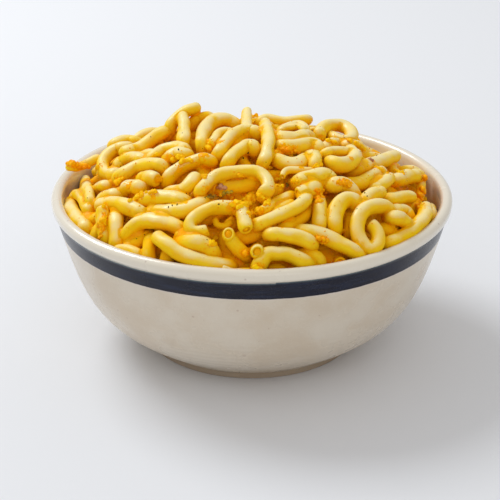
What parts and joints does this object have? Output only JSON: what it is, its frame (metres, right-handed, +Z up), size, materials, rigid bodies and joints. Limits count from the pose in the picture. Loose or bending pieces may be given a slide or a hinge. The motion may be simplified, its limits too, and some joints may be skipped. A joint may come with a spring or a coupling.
{
  "type": "bowl of macaroni and cheese",
  "caption": "Round cream stoneware bowl with a navy band and low foot ring, heaped with curly macaroni in cheese sauce.",
  "frame": {"origin": "middle of the foot ring's underside, on the surface that the bowl stands on", "axes": "+Z up along the bowl's axis; the side shown nearest is towards -Y; +X to the right"},
  "size_m": [0.216, 0.216, 0.1209],
  "materials": {
    "glazed_stoneware": "cream glaze, softly glossy, with a hand-painted navy band under the lip",
    "cheese_macaroni": null
  },
  "bodies": {
    "root": {"bowl": "glazed_stoneware", "macaroni_heap": "cheese_macaroni"}
  },
  "joints": []
}
